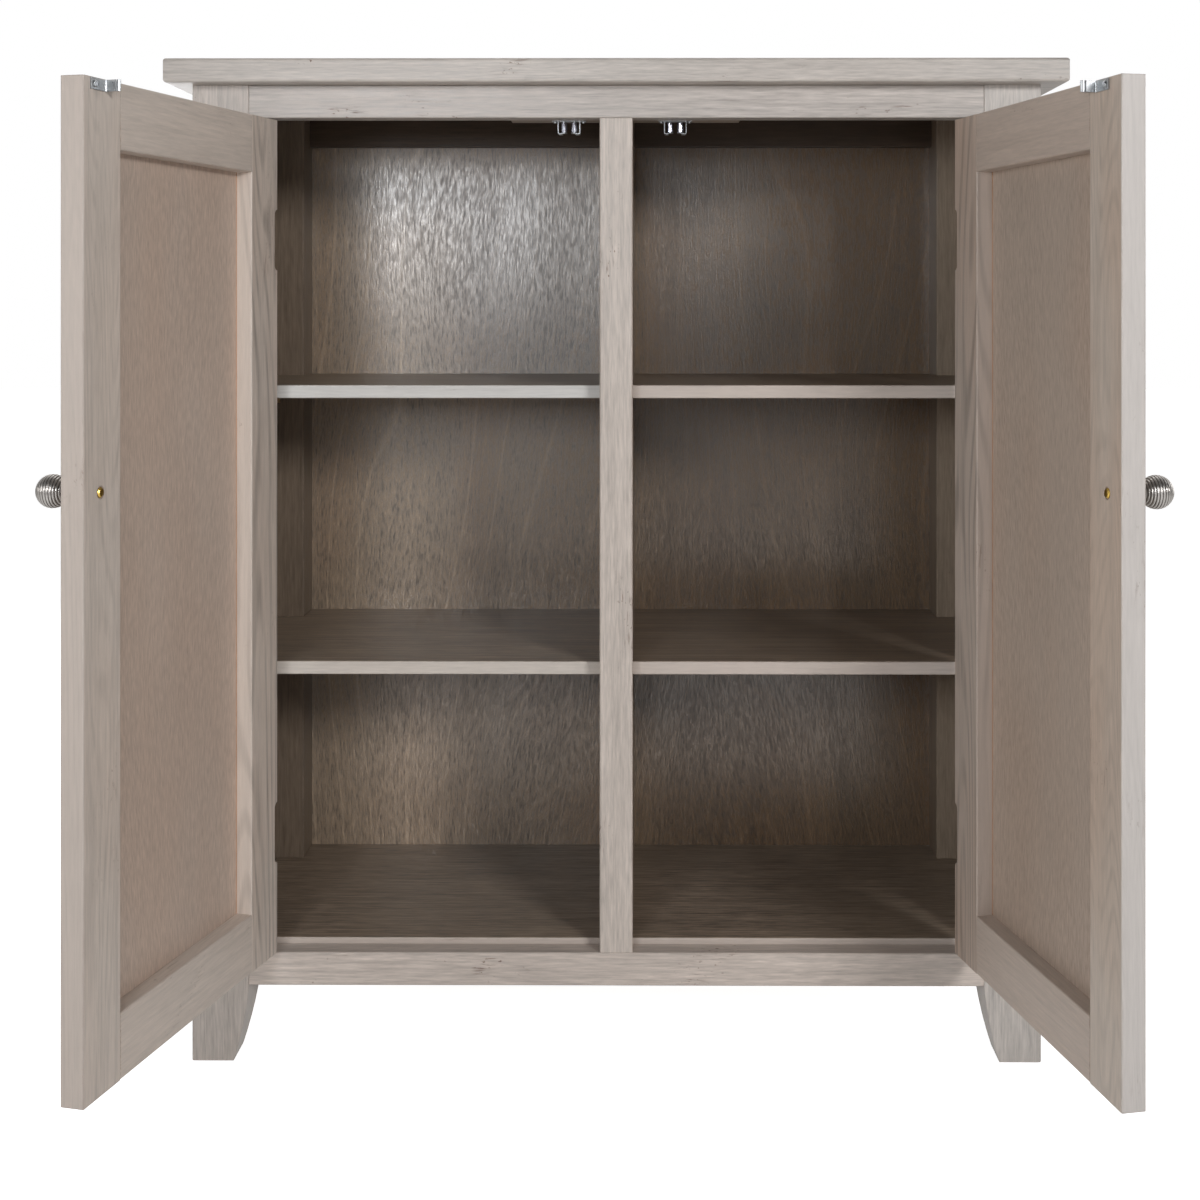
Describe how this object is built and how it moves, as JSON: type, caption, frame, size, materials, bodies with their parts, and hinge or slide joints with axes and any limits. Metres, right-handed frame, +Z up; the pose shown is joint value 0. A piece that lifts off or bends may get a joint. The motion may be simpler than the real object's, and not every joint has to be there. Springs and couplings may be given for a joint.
{
  "type": "hallway cabinet",
  "caption": "Free-standing painted hallway cabinet: inset frame-and-panel doors on butt hinges, shelves either side of a partition, ball knobs and roller catches.",
  "frame": {"origin": "on the floor, midway between the posts, in the plane of the front frame's face", "axes": "+X to the right seen from the front, +Y to the back, +Z up; the doors stand open in the rest pose"},
  "size_m": [0.9279, 0.6891, 1],
  "materials": {
    "painted_wood": "brushed greige paint over visible grain, worn arrises",
    "painted_panel": "thin greige stain on plywood, satin",
    "painted_board": "greige stain on boards, satin",
    "raw_wood": "unfinished softwood",
    "hinge_steel": "brushed nickel plate",
    "knob_nickel": "turned, satin nickel plate",
    "catch_zinc": "bright zinc plate",
    "roller_steel": "polished steel",
    "yellow_zinc": "yellow zinc plate",
    "screw_steel": "zinc plated steel"
  },
  "bodies": {
    "carcass": {"top_board": "painted_wood", "front_left_post": "painted_wood", "front_right_post": "painted_wood", "rear_left_post": "painted_wood", "rear_right_post": "painted_wood", "front_top_rail": "painted_wood", "front_bottom_rail": "painted_wood", "centre_stile": "painted_wood", "back_top_rail": "painted_wood", "back_bottom_rail": "raw_wood", "left_side_rails": "painted_wood", "right_side_rails": "painted_wood", "left_side_panel": "painted_panel", "right_side_panel": "painted_panel", "back_panel": "painted_panel", "floor_board": "painted_board", "partition": "painted_board", "upper_left_shelf": "painted_board", "upper_right_shelf": "painted_board", "lower_left_shelf": "painted_board", "lower_right_shelf": "painted_board", "shelf_cleats": "raw_wood", "floor_cleats": "raw_wood", "catch_block": "painted_wood", "corner_blocks": "raw_wood", "fixing_screws": "screw_steel", "hinge_frame_leaves": "hinge_steel", "hinge_pins": "hinge_steel", "hinge_frame_screws": "screw_steel", "left_catch_housing": "catch_zinc", "right_catch_housing": "catch_zinc", "catch_screws": "screw_steel"},
    "left_door": {"left_door_hinge_stile": "painted_wood", "left_door_lock_stile": "painted_wood", "left_door_rails": "painted_wood", "left_door_panel": "painted_panel", "left_knob": "knob_nickel", "left_knob_screw": "yellow_zinc", "left_strike": "catch_zinc", "left_strike_screw": "screw_steel", "left_hinge_door_leaves": "hinge_steel", "left_hinge_door_screws": "screw_steel"},
    "right_door": {"right_door_hinge_stile": "painted_wood", "right_door_lock_stile": "painted_wood", "right_door_rails": "painted_wood", "right_door_panel": "painted_panel", "right_knob": "knob_nickel", "right_knob_screw": "yellow_zinc", "right_strike": "catch_zinc", "right_strike_screw": "screw_steel", "right_hinge_door_leaves": "hinge_steel", "right_hinge_door_screws": "screw_steel"},
    "left_catch_left_arm": {"left_catch_left_arm": "catch_zinc"},
    "left_catch_left_roller": {"left_catch_left_roller": "roller_steel"},
    "left_catch_right_arm": {"left_catch_right_arm": "catch_zinc"},
    "left_catch_right_roller": {"left_catch_right_roller": "roller_steel"},
    "right_catch_left_arm": {"right_catch_left_arm": "catch_zinc"},
    "right_catch_left_roller": {"right_catch_left_roller": "roller_steel"},
    "right_catch_right_arm": {"right_catch_right_arm": "catch_zinc"},
    "right_catch_right_roller": {"right_catch_right_roller": "roller_steel"}
  },
  "joints": [
    {"name": "left_door_hinge", "type": "hinge", "parent": "carcass", "child": "left_door", "pos_m": [-0.363, -0.006, 0.5265], "axis": [0, 0, -1], "range_deg": [-103.8, 71.2]},
    {"name": "right_door_hinge", "type": "hinge", "parent": "carcass", "child": "right_door", "pos_m": [0.363, -0.006, 0.5265], "axis": [0, 0, 1], "range_deg": [-101.8, 73.2]},
    {"name": "left_catch_left_arm_slide", "type": "slide", "parent": "carcass", "child": "left_catch_left_arm", "axis": [-1, 0, 0], "range_m": [0, 0.001], "stiffness_N_per_m": 6000},
    {"name": "left_catch_left_roller_spin", "type": "hinge", "parent": "left_catch_left_arm", "child": "left_catch_left_roller", "pos_m": [-0.0535, 0.0305, 0.93625], "axis": [0, 0, 1], "continuous": true},
    {"name": "left_catch_right_arm_slide", "type": "slide", "parent": "carcass", "child": "left_catch_right_arm", "axis": [1, 0, 0], "range_m": [0, 0.001], "stiffness_N_per_m": 6000},
    {"name": "left_catch_right_roller_spin", "type": "hinge", "parent": "left_catch_right_arm", "child": "left_catch_right_roller", "pos_m": [-0.0429, 0.0305, 0.93625], "axis": [0, 0, 1], "continuous": true},
    {"name": "right_catch_left_arm_slide", "type": "slide", "parent": "carcass", "child": "right_catch_left_arm", "axis": [-1, 0, 0], "range_m": [0, 0.001], "stiffness_N_per_m": 6000},
    {"name": "right_catch_left_roller_spin", "type": "hinge", "parent": "right_catch_left_arm", "child": "right_catch_left_roller", "pos_m": [0.0544, 0.0305, 0.93625], "axis": [0, 0, 1], "continuous": true},
    {"name": "right_catch_right_arm_slide", "type": "slide", "parent": "carcass", "child": "right_catch_right_arm", "axis": [1, 0, 0], "range_m": [0, 0.001], "stiffness_N_per_m": 6000},
    {"name": "right_catch_right_roller_spin", "type": "hinge", "parent": "right_catch_right_arm", "child": "right_catch_right_roller", "pos_m": [0.065, 0.0305, 0.93625], "axis": [0, 0, 1], "continuous": true}
  ]
}
